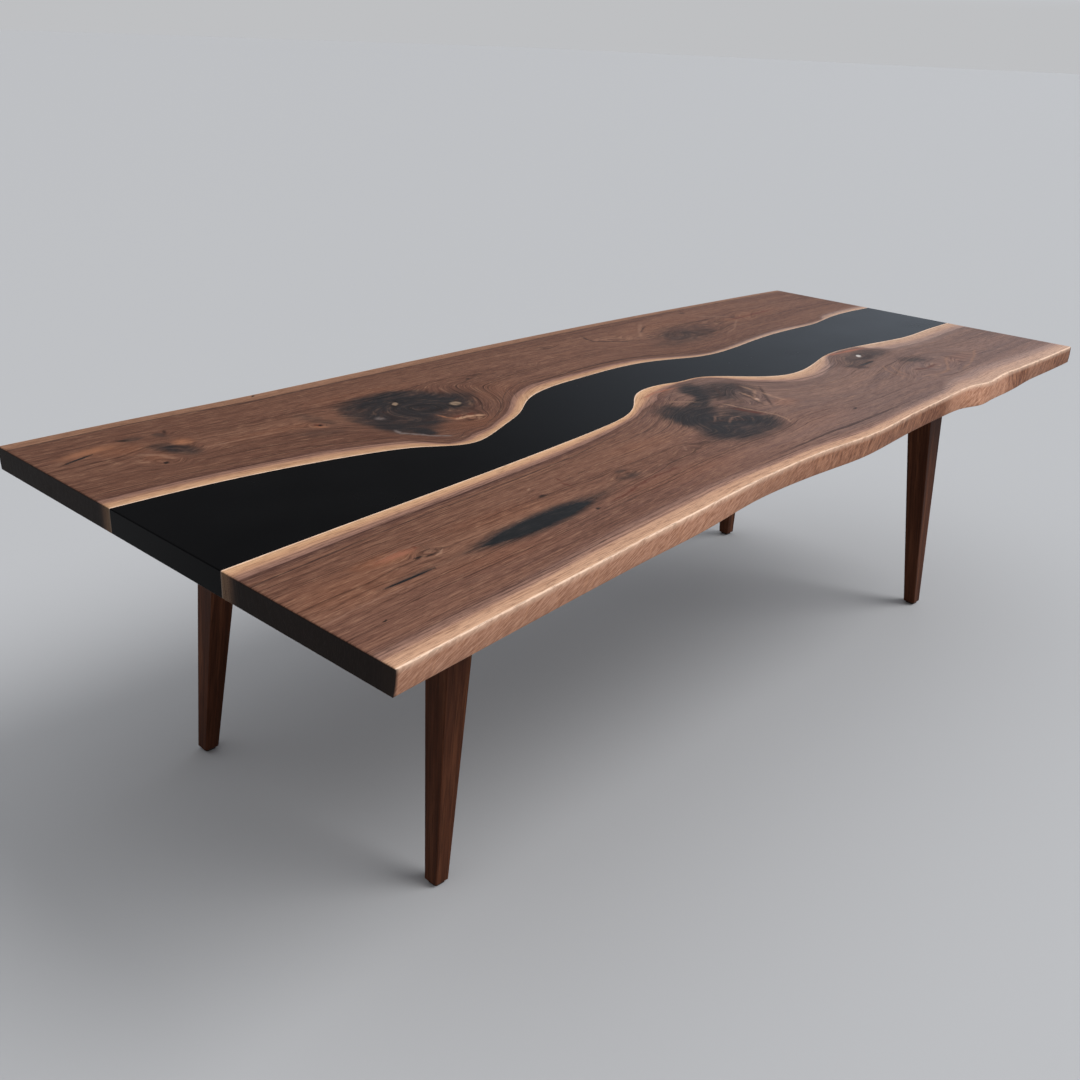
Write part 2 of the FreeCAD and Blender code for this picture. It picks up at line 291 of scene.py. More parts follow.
def crack_cutter(node):
    """A merged copy of a crack's resin that reaches a little past the top face."""
    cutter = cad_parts[node].copy()
    cutter.data = cutter.data.copy()
    cutter.parent = None
    cutter.name = "crack_cutter"
    for note in [note for note in cutter.keys() if note.startswith("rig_")]:
        del cutter[note]
    scene.collection.objects.link(cutter)
    alone(cutter)
    bpy.ops.object.mode_set(mode="EDIT")
    bpy.ops.mesh.select_all(action="SELECT")
    bpy.ops.mesh.remove_doubles(threshold=1e-6)
    bpy.ops.object.mode_set(mode="OBJECT")
    for vertex in cutter.data.vertices:
        if vertex.co.z > TOP - 0.001:
            vertex.co.z = TOP + CRACK_OVERRUN
    return cutter


slabs = {}
slabs["front"] = board("walnut_slab_front", SLAB_COLUMNS, lambda x, z: live_edge("front", x, z),
                       lambda x, z: fitted(river_lines["front"], x), EDGE_CROWDING)
slabs["rear"] = board("walnut_slab_rear", SLAB_COLUMNS, lambda x, z: fitted(river_lines["rear"], x),
                      lambda x, z: live_edge("rear", x, z), EDGE_CROWDING)
for side, slab in slabs.items():
    cracks = [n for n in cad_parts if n.startswith("crack_fill")
              and (n == "crack_fill_rear") == (side == "rear")]
    cut(slab, *[plate_recess("leg_plate_" + c) for c in CORNERS if c.startswith(side)],
        *[channel_groove("stiffening_channel_" + p) for p in PLACES],
        *[crack_cutter(n) for n in sorted(cracks)])

# The figure of each slab, drawn on the top in millimetres. A knot is (x, y, half length,
# half width, turn, how far it spreads the grain, how much of it is rings). A stain is
# (x, y, half length, half width, turn, how dark, how soft), and one below 0 clears others.
KNOTS = {
    "front": [
        (-20, -160, 250, 175, 20, 0.45, 0.0), (-60, -215, 120, 95, -30, 0.8, 0.6),
        (790, -268, 230, 105, 14, 0.85, 0.8), (690, -95, 110, 60, -4, 0.8, 0.4),
        (-1020, -340, 46, 24, -5, 0.9, 0.8), (245, -348, 30, 16, 0, 0.9, 0.8),
        (145, -130, 100, 60, 60, 0.9, 0.9), (-497, -300, 50, 26, 0, 0.7, 0.3),
        (-705, -280, 34, 14, 0, 0.8, 0.3), (-300, -290, 50, 26, 30, 0.7, 0.5)],
    "rear": [
        (-520, 265, 270, 190, -20, 0.7, 0.55), (-480, 150, 70, 60, 0, 0.9, 0.6),
        (560, 366, 250, 130, 12, 0.6, 0.35), (-1100, 449, 50, 24, -20, 0.9, 0.4),
        (-1040, 445, 40, 20, -20, 0.9, 0.4), (-1065, 345, 80, 50, -40, 0.8, 0.4),
        (-1112, 300, 60, 40, -50, 0.9, 0.6), (-760, 300, 60, 40, -30, 0.9, 0.6),
        (-63, 379, 34, 18, 0, 0.9, 0.8), (90, 480, 60, 30, 0, 0.8, 0.4),
        (860, 400, 110, 60, 30, 0.8, 0.5), (300, 440, 90, 60, -30, 0.7, 0.4)]}
STAINS = {
    "front": [
        (-100, -135, 68, 88, -15, 0.74, 0.65), (-80, -272, 122, 62, 0, 0.76, 0.5),
        (-115, -205, 62, 110, 0, 0.6, 0.65), (0, -235, 52, 88, 0, 0.5, 0.5),
        (46, -38, 98, 32, 49, 0.8, 0.6), (125, -62, 95, 66, -12, 0.7, 0.5),
        (-20, -110, 70, 30, 40, 0.6, 0.6), (-75, -195, 75, 80, 0, 0.5, 0.6),
        (60, -150, 60, 60, 0, 0.45, 0.7), (-5, -42, 34, 30, 0, -0.75, 0.6),
        (-60, 15, 70, 30, 25, -0.9, 0.6), (150, -120, 60, 45, 60, 0.3, 0.8),
        (-808, -366, 160, 32, 5, 0.85, 0.5), (-730, -352, 110, 22, 6, 0.4, 0.8),
        (-600, -335, 90, 22, 8, 0.32, 0.9), (-1110, -393, 70, 8, 5, 0.5, 0.7),
        (-1015, -384, 80, 7, 4, 0.35, 0.8), (-500, -313, 40, 16, 0, 0.5, 0.8),
        (-500, -283, 22, 9, 0, 0.6, 0.7), (-705, -282, 20, 10, 0, 0.45, 0.8),
        (-372, -314, 18, 8, 0, 0.5, 0.7), (-1018, -330, 24, 18, -50, 0.4, 0.6),
        (-200, -275, 50, 26, 20, 0.3, 0.9), (250, -345, 26, 14, 0, 0.5, 0.8),
        (712, -100, 128, 44, 2, 0.68, 0.6), (600, -140, 60, 26, -20, 0.5, 0.8),
        (776, -202, 56, 42, -10, 0.55, 0.8), (850, -222, 70, 24, -8, 0.2, 0.9),
        (960, -250, 110, 22, 4, 0.2, 0.9)],
    "rear": [
        (-548, 262, 152, 138, -20, 0.62, 0.35), (-548, 360, 105, 48, -8, 0.65, 0.6),
        (-480, 372, 60, 36, -20, 0.5, 0.7), (-655, 255, 36, 105, 0, 0.55, 0.6),
        (-622, 128, 17, 26, 12, 0.95, 0.6), (-650, 178, 26, 42, 10, 0.5, 0.7),
        (-420, 285, 80, 50, 30, 0.5, 0.8), (-520, 255, 120, 95, -20, 0.55, 0.6),
        (-350, 272, 90, 34, 36, 0.25, 0.9), (-600, 170, 60, 70, 0, 0.4, 0.8),
        (-500, 110, 62, 62, 10, -0.75, 0.5), (-548, 90, 40, 50, 0, -0.6, 0.6),
        (-470, 195, 60, 24, 0, -0.25, 0.9), (-1088, 449, 26, 18, 0, 0.55, 0.7),
        (-1038, 438, 16, 26, 10, 0.55, 0.7), (-1074, 376, 36, 26, -40, 0.55, 0.7),
        (-1052, 337, 38, 30, -40, 0.7, 0.7), (-1045, 295, 30, 20, 0, 0.4, 0.8),
        (-748, 345, 26, 62, 10, 0.5, 0.8), (-790, 258, 80, 32, -20, 0.42, 0.8),
        (-920, 372, 70, 44, 0, 0.15, 0.8), (88, 480, 40, 20, 0, 0.4, 0.8),
        (540, 362, 180, 92, 10, 0.52, 0.7), (485, 330, 70, 56, 0, 0.2, 0.8),
        (380, 300, 90, 36, 10, 0.25, 0.9), (-62, 375, 22, 34, 20, 0.3, 0.8),
        (1000, 360, 150, 60, 10, 0.12, 0.9)]}
# The pale sapwood along each edge as (x, width), streaks of warmer wood as (x, y, half
# length, half width, strength), and how light the debarked edge is as (x, share). That
# lightness is partly the edge's own tone and partly painted shade, such as the shadow under a bump.
RIVER_SAP = {
    "front": [
        (-1300, 31), (-1000, 26), (-700, 25), (-500, 25), (-350, 20), (-250, 15), (-150, 14), (-60, 34),
        (0, 28), (60, 14), (100, 5), (170, 4), (210, 12), (250, 28), (350, 40), (450, 38), (550, 26),
        (610, 9), (650, 3), (780, 3), (810, 25), (850, 42), (1000, 38), (1300, 36)],
    "rear": [
        (-1300, 28), (-1000, 30), (-850, 34), (-760, 30), (-690, 28), (-640, 10), (-560, 22),
        (-500, 14), (-430, 16), (-350, 20), (-280, 26), (-200, 30), (-100, 25), (0, 21), (200, 20),
        (300, 14), (400, 9), (600, 10), (800, 12), (950, 8), (1020, 4), (1060, 14), (1300, 18)]}
LIVE_SAP = {
    "front": [
        (-1300, 30), (-1000, 28), (-700, 34), (-450, 34), (-200, 24), (0, 22), (200, 22), (400, 20),
        (560, 18), (650, 34), (700, 42), (800, 44), (1000, 40), (1300, 34)],
    "rear": [
        (-1300, 35), (-1050, 31), (-900, 33), (-750, 40), (-450, 38), (0, 34), (400, 28), (1300, 20)]}
WARM = {
    "front": [
        (-1095, -320, 70, 22, 0.9), (-1200, -370, 120, 60, 0.35), (-830, -300, 150, 30, 0.35),
        (-40, 20, 90, 30, 0.9), (-420, -370, 200, 30, 0.35), (120, -330, 160, 60, 0.3),
        (160, -215, 44, 30, 0.7), (900, -270, 90, 30, 0.6), (-940, -425, 140, 26, 0.4),
        (720, -42, 60, 12, 0.8), (-330, -210, 120, 30, 0.3)],
    "rear": [
        (-1140, 400, 60, 34, 0.7), (-1022, 376, 22, 26, 0.9), (-1105, 325, 30, 26, 0.6),
        (-500, 110, 90, 50, 0.6), (-300, 270, 110, 70, 0.3), (-850, 320, 150, 20, 0.4),
        (-560, 430, 160, 26, 0.35), (560, 470, 200, 40, 0.25), (900, 400, 140, 40, 0.4)]}
EDGE_LIGHT = {
    "front": [
        (-1300, 0.7), (-700, 0.8), (-400, 0.74), (-200, 0.6), (0, 0.5), (200, 0.4), (380, 0.3),
        (470, 0.05), (520, 0.55), (580, 0.95), (820, 0.75), (890, 0.3), (930, 0.05), (970, 0.1),
        (1010, 0.55), (1120, 0.5), (1200, 0.3), (1300, 0.4)],
    "rear": [
        (-1300, 0.6), (-600, 0.8), (-100, 0.4), (300, 0.7), (800, 0.3), (1300, 0.6)]}
LOG_WIDTH = 0.42             # width of either board in the log, from edge to edge
PITH_DEPTH, PITH_SWAY = 0.045, 0.018   # of the log's middle below the top face
EDGE_SLACK = 0.0002          # how far a point of the debarked edge may lie off its line


def edge_tree(points):
    """A search tree of a line of points."""
    tree = KDTree(len(points))
    for i, (x, y) in enumerate(points):
        tree.insert((x, y, 0), i)
    tree.balance()
    return tree


def reach(x, y, middle_x, middle_y, long, wide, turn):
    """How far a point lies from the middle of a turned ellipse, with 1 on its outline."""
    c, s = math.cos(math.radians(turn)), math.sin(math.radians(turn))
    return np.hypot(((x - middle_x) * c + (y - middle_y) * s) / long,
                    ((y - middle_y) * c - (x - middle_x) * s) / wide)


def step(value, low, high):
    """0 below low, 1 above high, and a smooth rise between."""
    t = np.clip((value - low) / (high - low), 0, 1)
    return t * t * (3 - 2 * t)


def draw_figure(side, slab):
    """Stores the grain, sapwood and colour of every point of a slab as attributes."""
    mesh = slab.data
    co = np.empty(len(mesh.vertices) * 3)
    mesh.vertices.foreach_get("co", co)
    x, y, z = co.reshape(-1, 3).T
    run = np.arange(-END - 0.05, END + 0.05, 0.001)
    river = edge_tree(np.stack([run, fitted(river_lines[side], run)], 1))
    live = edge_tree(np.stack([run, live_edge(side, run, BULGE_TOP)], 1))
    from_river = np.array([river.find((a, b, 0))[2] for a, b in zip(x, y)])
    from_live = np.array([live.find((a, b, 0))[2] for a, b in zip(x, y)])

    # The place in the log: how far across, pinched and ringed by the knots, and how deep.
    way = 1 if side == "rear" else -1
    across = way * LOG_WIDTH * (from_river / (from_river + from_live) - 0.5)
    mm_x, mm_y = x * 1000, y * 1000
    below_top = z < TOP - 1e-4
    for knot_x, knot_y, long, wide, turn, spread, rings in KNOTS[side]:
        r = reach(mm_x, mm_y, knot_x, knot_y, long, wide, turn)
        heart = across[np.argmin(np.hypot(mm_x - knot_x, mm_y - knot_y) + 1e3 * below_top)]
        across = heart + (across - heart) * (1 - spread * np.exp(-1.6 * r * r))
        core = rings * (1 - step(r, 0.3, 1.0))
        across = across * (1 - core) + (heart + way * r * wide / 1000) * core
    depth = PITH_DEPTH + PITH_SWAY * np.sin(2.3 * x + 1.1) + 0.5 * (TOP - z)
    growth = np.sqrt(across ** 2 + depth ** 2)

    stain = np.zeros(len(x))
    for spot_x, spot_y, long, wide, turn, dark, soft in STAINS[side]:
        inside = 1 - step(reach(mm_x, mm_y, spot_x, spot_y, long, wide, turn), 1 - soft, 1 + soft)
        stain = stain + (1 - stain) * dark * inside if dark > 0 else stain * (1 + dark * inside)
    warm = np.zeros(len(x))
    for spot_x, spot_y, long, wide, strength in WARM[side]:
        inside = 1 - step(reach(mm_x, mm_y, spot_x, spot_y, long, wide, 0), 0.2, 1.4)
        warm = np.maximum(warm, strength * inside)
    river_sap, live_sap = [np.interp(mm_x, *np.array(table[side]).T) / 1000
                           for table in (RIVER_SAP, LIVE_SAP)]
    light = np.interp(mm_x, *np.array(EDGE_LIGHT[side]).T)
    on_edge = np.abs(y - live_edge(side, x, z)) < EDGE_SLACK
    bark = step(BULGE_TOP + 0.001 - z, 0, 0.002) * on_edge
    sawn = (np.abs(x) > END - 0.0001).astype(float)
    none = np.zeros(len(x))
    for name, values in (("grain", (x, growth, across)),
                         ("sap", (from_river / river_sap, from_live / live_sap, light)),
                         ("tone", (stain, warm, none)), ("face", (bark, sawn, none))):
        attribute = mesh.attributes.new(name, "FLOAT_VECTOR", "POINT")
        attribute.data.foreach_set("vector", np.stack(values, 1).ravel())


def paint(red, green, blue, cover=1.0):
    """A colour from its 0 to 255 screen values."""
    return tuple((c / 255 / 12.92 if c < 10.3 else ((c / 255 + 0.055) / 1.055) ** 2.4)
                 for c in (red, green, blue)) + (cover,)


class Finish:
    """A material whose nodes are added one by one."""

    def __init__(self, name):
        self.material = bpy.data.materials.new(name)
        self.material.use_nodes = True
        self.tree = self.material.node_tree
        self.shader = self.tree.nodes["Principled BSDF"]

    def add(self, kind, inputs, output=0, **settings):
        node = self.tree.nodes.new("ShaderNode" + kind)
        for name, value in settings.items():
            setattr(node, name, value)
        for key, value in inputs.items():
            if isinstance(value, bpy.types.NodeSocket):
                self.tree.links.new(value, node.inputs[key])
            else:
                node.inputs[key].default_value = value
        return node.outputs[output]

    def math(self, operation, a, b=0.0):
        return self.add("Math", {0: a, 1: b}, operation=operation)

    def times(self, a, b):
        return self.math("MULTIPLY", a, b)

    def plus(self, a, b):
        return self.math("ADD", a, b)

    def swing(self, value, by):
        """A 0 to 1 value made to swing about 0, by this much in all."""
        return self.times(self.math("SUBTRACT", value, 0.5), by)

    def vector(self, operation, a, b):
        return self.add("VectorMath", {0: a, 1: b}, operation=operation)

    def noise(self, at, stretch=None, detail=2.0, roughness=0.5, scale=1.0):
        """Noise at a point, each part of which may first be multiplied by its own stretch."""
        if stretch:
            at = self.vector("MULTIPLY", at, stretch)
        return self.add("TexNoise", {"Vector": at, "Scale": scale, "Detail": detail,
                                     "Roughness": roughness})

    def rise(self, value, low, high, to=1.0):
        """0 at low and to at high, with a smooth rise between."""
        return self.add("MapRange", {"Value": value, "From Min": low, "From Max": high, "To Max": to},
                        interpolation_type="SMOOTHSTEP")

    def mix(self, share, a, b, blend="MIX"):
        return self.add("Mix", {"Factor": share, "A": a, "B": b}, output=2, data_type="RGBA",
                        blend_type=blend)

    def split(self, value):
        node = self.tree.nodes.new("ShaderNodeSeparateXYZ")
        self.tree.links.new(value, node.inputs[0])
        return node.outputs[0], node.outputs[1], node.outputs[2]

    def ramp(self, value, *stops):
        return self.band(value, *stops)[0]

    def band(self, value, *stops):
        """A ramp's colour and its cover."""
        node = self.tree.nodes.new("ShaderNodeValToRGB")
        elements = node.color_ramp.elements
        while len(elements) < len(stops):
            elements.new(0.5)
        for element, (at, colour) in zip(elements, stops):
            element.position, element.color = at, colour
        self.tree.links.new(value, node.inputs[0])
        return node.outputs[0], node.outputs[1]

    def spot(self, at, x, y, long, wide, turn, soft):
        """1 inside an ellipse given in millimetres, 0 outside it."""
        size = (1 + soft) / 1000
        local = self.add("Mapping", {"Vector": at, "Location": (x / 1000, y / 1000, 0),
                                     "Rotation": (0, 0, math.radians(turn)),
                                     "Scale": (long * size, wide * size, 1)}, vector_type="TEXTURE")
        inside = self.add("TexGradient", {"Vector": local}, output=1, gradient_type="SPHERICAL")
        return self.rise(inside, 0, 2 * soft / (1 + soft))

    def stroke(self, at, points, wide, soft):
        """1 along a line of points in millimetres."""
        parts = []
        for (ax, ay), (bx, by) in zip(points, points[1:]):
            half = math.hypot(bx - ax, by - ay) / 2
            turn = math.degrees(math.atan2(by - ay, bx - ax))
            parts.append(self.spot(at, (ax + bx) / 2, (ay + by) / 2, half * 1.25, wide, turn, soft))
        return self.largest(parts)

    def largest(self, parts):
        whole = parts[0]
        for part in parts[1:]:
            whole = self.math("MAXIMUM", whole, part)
        return whole

    def surface(self, colour, roughness, height, depth, strength):
        """Gives the shader its colour and roughness, and a bump of this depth in metres."""
        bump = self.add("Bump", {"Height": height, "Distance": depth, "Strength": strength})
        for name, value in (("Base Color", colour), ("Roughness", roughness), ("Normal", bump)):
            if isinstance(value, bpy.types.NodeSocket):
                self.tree.links.new(value, self.shader.inputs[name])
            else:
                self.shader.inputs[name].default_value = value


# Small marks on each slab: a colour with its cover, then spots (x, y, half length, half
# width, turn, soft) and strokes (points, half width, soft).
MARKS = {
    "front": [
        (paint(60, 43, 38, 0.85), [(592, -158, 20, 12, -30, 0.8), (716, -112, 16, 9, 30, 0.7)],
         [([(120, -205), (160, -164), (212, -114)], 4, 0.8), ([(158, -98), (196, -60)], 6, 0.9),
          ([(104, -190), (124, -152), (152, -124)], 5, 0.8),
          ([(594, -151), (638, -146), (680, -144)], 5, 0.6),
          ([(50, -110), (90, -88), (130, -40)], 5, 0.9),
          ([(-95, -205), (-62, -215), (-30, -240)], 4, 0.9)]),
        (paint(88, 44, 32, 0.8), [(-1027, -312, 3, 6, 0, 0.6)],
         [([(-622, -378), (-580, -371), (-535, -358), (-490, -348), (-440, -344), (-395, -341)], 2.4, 0.7),
          ([(22, -175), (30, -205), (40, -235)], 8, 0.9), ([(-622, -236), (-625, -248)], 2, 0.6),
          ([(-632, -260), (-629, -276)], 2.5, 0.6), ([(690, -262), (730, -272), (780, -268)], 4, 0.9)]),
        (paint(156, 100, 78, 0.75), [(-1070, -318, 34, 7, 4, 0.9)],
         [([(640, -36), (690, -41), (775, -50)], 6, 0.8), ([(-70, 10), (-20, 22), (40, 18)], 4, 0.9)]),
        (paint(16, 12, 11, 0.9), [(-1224, -480, 6, 2.2, 20, 0.5), (-1048, -346, 8, 3.5, 0, 0.6),
                                  (-1027, -350, 12, 2.5, 0, 0.7), (-706, -282, 8, 3.5, 5, 0.9),
                                  (-676, -387, 6, 3.5, 30, 0.7), (243, -348, 8, 3.5, 10, 0.7)], []),
        (paint(160, 124, 102, 0.6), [(-702, -243, 6, 2, 30, 0.7), (-1013, -355, 9, 2, 20, 0.6),
                                     (-1004, -348, 7, 2, 30, 0.6)],
         [([(34, -140), (38, -175), (46, -212), (53, -245), (57, -262), (50, -290), (36, -312)], 3.2, 0.7),
          ([(-52, -50), (-26, -68), (-4, -88)], 3, 0.9),
          ([(190, -78), (185, -115), (164, -131)], 4.5, 0.8),
          ([(183, -140), (178, -170), (176, -202)], 5, 0.8),
          ([(142, -108), (132, -145), (116, -176)], 4, 0.7)]),
        (paint(150, 114, 96, 0.42), [],
         [([(-86, -200), (-62, -182), (-40, -192)], 3, 0.9), ([(-295, -284), (-284, -267)], 3, 0.8),
          ([(-70, -228), (-40, -212), (-18, -216)], 3, 0.9),
          ([(-1100, -312), (-1050, -305), (-985, -303)], 1.6, 0.8),
          ([(640, -394), (760, -392), (860, -384)], 3, 0.9),
          ([(-1285, -436), (-1230, -425), (-1180, -420), (-1128, -417)], 2, 0.8)]),
        (paint(146, 108, 86, 0.55), [],
         [([(640, -305), (700, -321), (748, -320), (795, -298), (850, -263), (885, -250)], 3.5, 0.8),
          ([(602, -286), (604, -250), (622, -218), (650, -190)], 3, 0.8),
          ([(626, -268), (640, -234), (668, -206)], 3, 0.8),
          ([(800, -335), (880, -318), (960, -290), (1020, -262)], 3.5, 0.8)]),
        # The spot at 128, -162 is a painted highlight on the curl by the knot.
        (paint(184, 150, 130, 0.8), [(128, -162, 10, 4, 60, 0.7), (822, -56, 16, 9, 0, 0.8)], []),
        (paint(206, 198, 190, 0.9), [(699, -91, 12, 6.5, 36, 0.4)], [])],
    "rear": [
        (paint(50, 32, 26, 0.85), [(-1035, 378, 5, 4, 0, 0.6), (-420, 259, 10, 5, 30, 0.8),
                                   (-277, 377, 9, 4, 36, 0.8), (-1020, 452, 4, 10, -20, 0.7),
                                   (738, 530, 9, 7, 0, 0.8)],
         [([(-1264, 387), (-1232, 398), (-1190, 415)], 3.2, 0.6),
          ([(262, 500), (250, 468), (252, 445), (300, 408), (352, 384)], 4, 0.9),
          ([(436, 442), (466, 460), (500, 478)], 3, 0.9)]),
        (paint(92, 46, 32, 0.8), [(-497, 166, 12, 5, 0, 0.8), (-466, 163, 9, 6, 20, 0.8),
                                  (-762, 297, 7, 9, 0, 0.8)],
         [([(800, 386), (900, 391), (1000, 396)], 5, 0.9)]),
        (paint(16, 12, 11, 0.9), [(-1112, 286, 5, 6, 0, 0.4), (-553, 308, 8, 4, 40, 0.7),
                                  (-530, 335, 7, 3.5, 40, 0.7), (-456, 233, 5, 8, 30, 0.7),
                                  (-445, 222, 8, 4, 0, 0.7), (-746, 558, 7, 3.5, 30, 0.6),
                                  (-760, 296, 4, 5, 0, 0.6), (-1110, 451, 12, 6, -30, 0.7)], []),
        (paint(118, 106, 102, 0.7), [(-636, 257, 9, 9, 0, 0.9)],
         [([(-663, 173), (-668, 153), (-654, 138), (-641, 122), (-632, 104), (-614, 88),
            (-600, 78)], 4, 0.7)]),
        (paint(160, 108, 78, 0.6), [(-1028, 374, 14, 13, 0, 0.9), (-1190, 428, 50, 14, 10, 0.9)],
         [([(-775, 294), (-757, 280)], 4, 0.7), ([(-526, 197), (-521, 172), (-508, 154)], 3.5, 0.8)]),
        (paint(150, 114, 94, 0.42), [],
         [([(-1122, 352), (-1100, 334), (-1087, 304)], 6, 0.9),
          ([(262, 455), (300, 448), (338, 426), (388, 392)], 4, 0.9),
          ([(640, 288), (700, 311), (760, 350), (795, 370)], 2.6, 0.9),
          ([(736, 480), (764, 448), (806, 428)], 4, 0.9),
          ([(404, 412), (442, 450), (488, 486), (520, 510)], 5, 0.9),
          ([(-1010, 320), (-940, 318), (-860, 312)], 3, 0.9)]),
        (paint(176, 136, 108, 0.8), [],
         [([(-510, 153), (-486, 155), (-466, 150), (-450, 142)], 6, 0.6)]),
        (paint(30, 22, 20, 0.8), [(-549, 316, 18, 9, 49, 0.5), (-444, 238, 18, 15, 30, 0.5)], []),
        (paint(138, 116, 96, 0.9), [(-543, 320, 11, 6, 49, 0.4), (-437, 243, 14, 12, 30, 0.35)], [])]}


def walnut(side):
    """Oiled walnut that follows the slab's own grain, sapwood and knots."""
    f = Finish("oiled_walnut_" + side)
    grain, sap, tone, face = [f.add("Attribute", {}, output=1, attribute_name=name)
                              for name in ("grain", "sap", "tone", "face")]
    along, growth, across = f.split(grain)
    by_river, by_live, edge_light = f.split(sap)
    stain, warm, _ = f.split(tone)
    bark, sawn, _ = f.split(face)
    place = f.add("TexCoord", {}, output=3)

    # Growth rings: uneven in width, each with its own tone and dark late wood.
    radius = f.plus(growth, f.swing(f.noise(grain, (4, 10, 10), detail=3), 0.016))
    flow = f.add("CombineXYZ", {0: along, 1: radius, 2: across})
    slow = f.add("CombineXYZ", {0: f.times(along, 0.5), 1: f.times(radius, 30.0)})
    count = f.plus(f.times(radius, 150.0), f.times(f.noise(slow, detail=1), 6.0))
    ring, turn = f.math("FLOOR", count), f.math("FRACT", count)
    ring_dark, ring_tone = [f.add("TexWhiteNoise", {"W": f.plus(ring, shift)}, noise_dimensions="1D")
                            for shift in (0.5, 57.5)]
    late = f.times(f.rise(turn, 0.4, 0.93), f.rise(turn, 1.0, 0.94))
    fade = f.rise(f.noise(flow, (1.6, 45, 4), detail=1), 0.32, 0.62)
    late = f.times(late, f.times(fade, ring_dark))

    broad = f.noise(flow, (1.1, 15, 5), detail=2, roughness=0.55)
    middle = f.noise(flow, (4.5, 150, 70), detail=4, roughness=0.62)
    fine = f.noise(flow, (26, 330, 280), detail=3, roughness=0.7)
    pores = f.noise(flow, (42, 620, 620), detail=1)
    mottle = f.noise(place, (26, 38, 26), detail=3, roughness=0.6)

    # Heartwood: brown. Painted shade makes the left end darker and redder, and a painted
    # sheen makes the right end of the front slab greyer.
    heart = f.ramp(broad, (0.30, paint(98, 66, 53)), (0.44, paint(113, 78, 63)), (0.56, paint(124, 87, 70)),
                   (0.70, paint(138, 99, 79)))
    heart = f.mix(f.rise(ring_tone, 0.45, 1.0, 0.22), heart, paint(146, 106, 86))
    heart = f.mix(f.rise(ring_tone, 0.45, 0.0, 0.20), heart, paint(88, 57, 48))
    heart = f.mix(f.rise(middle, 0.42, 0.70, 0.30), heart, paint(144, 104, 82))
    heart = f.mix(f.rise(middle, 0.52, 0.28, 0.34), heart, paint(84, 55, 46))
    heart = f.mix(f.times(warm, 0.55), heart, paint(156, 98, 66))
    if side == "rear":
        heart = f.mix(0.30, heart, paint(74, 46, 36))
    else:
        heart = f.mix(f.rise(by_live, 7.0, 3.5, 0.14), heart, paint(150, 112, 100))
        # Painted sheen: greyer towards the right end.
        heart = f.mix(f.rise(along, -0.5, 0.25, 0.28), heart, paint(112, 107, 108))
    # Painted shade: darker and redder towards the left end.
    heart = f.mix(f.rise(along, 0.2, -0.6, 0.24), heart, paint(72, 36, 22))

    # Blue black stain of the knots, brown at its edges and mottled along the grain.
    ragged = f.plus(f.swing(middle, 0.55), f.swing(mottle, 0.5))
    blot = f.times(f.rise(f.plus(stain, ragged), 0.10, 0.95), f.rise(stain, 0.02, 0.25))
    inky = f.ramp(f.plus(blot, f.swing(middle, 0.5)),
                  (0.25, paint(66, 47, 40)), (0.55, paint(44, 38, 36)), (0.85, paint(29, 30, 33)))
    heart = f.mix(f.times(blot, 0.96), heart, inky)

    # Sapwood: cream at the very edge, then gold, then a dull pink border and dark lines. A
    # ramp's 0 to 1 stands for three times the sapwood's own width.
    ripple = f.plus(f.swing(middle, 0.18), f.swing(fine, 0.12))
    colour, cover = f.band(
        f.times(f.plus(by_river, ripple), 1 / 3),
        (0.00, paint(214, 172, 134)), (0.15, paint(204, 160, 124)), (0.30, paint(184, 140, 112)),
        (0.345, paint(156, 118, 99)), (0.505, paint(134, 100, 88)), (0.525, paint(80, 52, 44, 0.95)),
        (0.69, paint(98, 66, 55, 0.65)), (0.74, paint(120, 84, 70, 0.0)), (0.81, paint(66, 44, 38, 0.0)),
        (0.82, paint(66, 44, 38, 0.85)), (0.85, paint(66, 44, 38, 0.8)), (0.87, paint(80, 54, 46, 0.0)))
    fainter = f.plus(f.times(f.rise(along, 0.3, -0.6), 0.6), 0.4)
    cover = f.times(cover, f.math("MAXIMUM", f.rise(by_river, 1.75, 1.55), fainter))
    if side == "rear":
        colour = f.mix(0.16, colour, paint(104, 68, 50))
    # Painted sheen: the sapwood turns paler and greyer towards the right end.
    colour = f.mix(f.rise(along, 0.0, 0.7, 0.4), colour, paint(178, 156, 146))
    wood = f.mix(cover, heart, f.mix(f.rise(blot, 0.3, 0.8, 0.85), colour, inky))
    if side == "front":
        stops = ((0.00, paint(206, 164, 134)), (0.27, paint(196, 154, 126)), (0.33, paint(176, 136, 114)),
                 (0.345, paint(130, 96, 84)), (0.365, paint(166, 128, 109)), (0.43, paint(148, 113, 98)),
                 (0.445, paint(106, 76, 66)), (0.465, paint(144, 110, 96, 0.9)),
                 (0.54, paint(126, 94, 82, 0.8)), (0.555, paint(88, 61, 52, 0.75)),
                 (0.575, paint(124, 92, 80, 0.45)), (0.74, paint(120, 86, 74, 0.0)))
    else:
        stops = ((0.00, paint(144, 107, 85)), (0.28, paint(138, 101, 80)), (0.325, paint(122, 88, 71)),
                 (0.345, paint(66, 45, 37, 0.95)), (0.38, paint(84, 58, 48, 0.6)),
                 (0.46, paint(96, 68, 56, 0.0)))
    colour, cover = f.band(f.times(f.plus(by_live, ripple), 1 / 3), *stops)
    if side == "front":
        # Painted sheen: the sapwood turns paler and greyer towards the right end.
        colour = f.mix(f.rise(along, 0.0, 0.7, 0.4), colour, paint(186, 160, 148))
    wood = f.mix(cover, wood, colour)
    # A bright line along the river edges and the arris of the debarked edges: pale wood with a painted
    # highlight.
    pale_rim_and_highlight = f.math("MAXIMUM", f.rise(by_river, 0.13, 0.05, 0.85), f.rise(by_live, 0.11, 0.04, 0.85))
    wood = f.mix(pale_rim_and_highlight, wood, paint(246, 214, 188))

